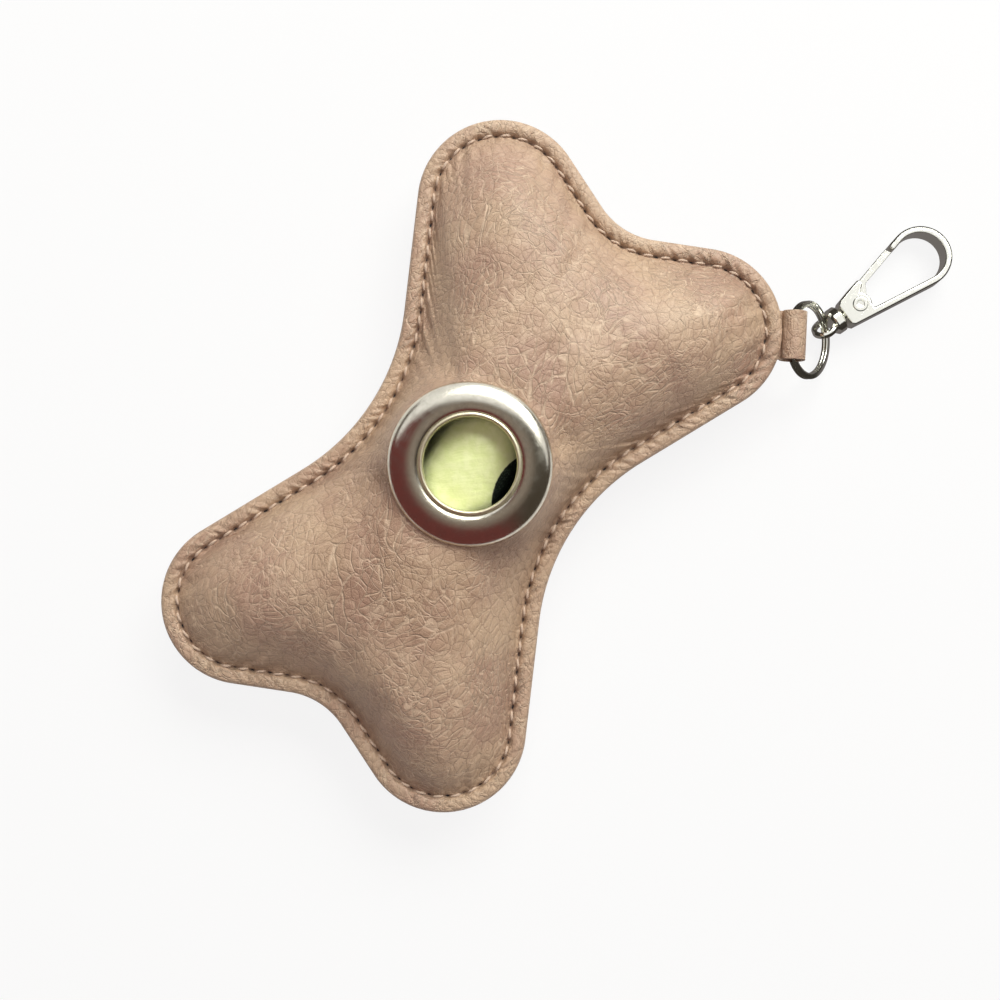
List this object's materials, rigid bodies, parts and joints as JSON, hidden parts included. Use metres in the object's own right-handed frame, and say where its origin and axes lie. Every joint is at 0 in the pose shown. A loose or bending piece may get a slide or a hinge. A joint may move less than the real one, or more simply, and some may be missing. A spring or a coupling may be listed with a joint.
{
  "type": "dog waste bag dispenser",
  "caption": "Bone-shaped leather pouch that feeds waste bags from a roll through a round window, with a zip in the back, a split ring and a snap hook.",
  "frame": {"origin": "middle of the window, on the face of the front leather that the eyelet sits on; the surface the pouch lies on is 32.8 mm below it", "axes": "+X along the bone towards the lobes with the tab, +Y across it away from the tab, +Z out of the window"},
  "size_m": [0.197, 0.127, 0.0355],
  "materials": {
    "leather": "pebbled, semi-gloss",
    "lining": "plain weave",
    "thread": "twisted thread",
    "nickel": "satin nickel",
    "card": "card, matt",
    "film": "thin film, creased",
    "zip_tape": "woven tape",
    "zip_teeth": "nylon",
    "zip_metal": "nickel plated",
    "chrome": "polished nickel plate",
    "spring_steel": "drawn wire"
  },
  "bodies": {
    "pouch": {"front_panel": "leather", "back_panel": "leather", "front_lining": "lining", "back_lining": "lining", "front_edge_stitching": "thread", "back_edge_stitching": "thread", "eyelet": "nickel", "eyelet_washer": "nickel", "left_zip_tape": "zip_tape", "right_zip_tape": "zip_tape", "left_zip_teeth": "zip_teeth", "right_zip_teeth": "zip_teeth", "open_end_stop": "zip_metal", "closed_end_stop": "zip_metal", "zip_window_stitching": "thread", "tab_loop": "leather"},
    "roll": {"roll_core": "card", "bag_roll": "film", "first_bag": "film"},
    "slider": {"zip_slider": "zip_metal"},
    "pull": {"zip_pull": "zip_metal"},
    "ring": {"split_ring": "chrome"},
    "swivel": {"swivel_eye": "chrome"},
    "hook": {"hook_body": "chrome", "gate_rivet": "chrome", "gate_spring": "spring_steel"},
    "gate": {"gate": "chrome"}
  },
  "joints": [
    {"name": "roll_spin", "type": "hinge", "parent": "pouch", "child": "roll", "pos_m": [0, 0, -0.01565], "axis": [1, 0, 0], "continuous": true},
    {"name": "zip_slide", "type": "slide", "parent": "pouch", "child": "slider", "axis": [-1, 0, 0], "range_m": [0, 0.07]},
    {"name": "pull_flap", "type": "hinge", "parent": "slider", "child": "pull", "pos_m": [0.0354, 0, -0.0315], "axis": [0, -1, 0], "range_deg": [0, 150]},
    {"name": "ring_swing", "type": "hinge", "parent": "pouch", "child": "ring", "pos_m": [0.07122, -0.05018, -0.0175], "axis": [0.866, 0.5, 0], "range_deg": [-100, 40]},
    {"name": "swivel_swing", "type": "hinge", "parent": "ring", "child": "swivel", "pos_m": [0.08042, -0.05775, -0.02905], "axis": [0.614, 0.7186, 0.3266], "range_deg": [-60, 90]},
    {"name": "hook_swivel", "type": "hinge", "parent": "swivel", "child": "hook", "pos_m": [0.08329, -0.05893, -0.02895], "axis": [0.9252, -0.3795, 0], "continuous": true},
    {"name": "gate_open", "type": "hinge", "parent": "hook", "child": "gate", "pos_m": [0.08984, -0.06194, -0.02892], "axis": [-0.0397, -0.0967, -0.9945], "range_deg": [0, 28], "stiffness_Nm_per_rad": 0.02, "springref_deg": -17.19}
  ]
}
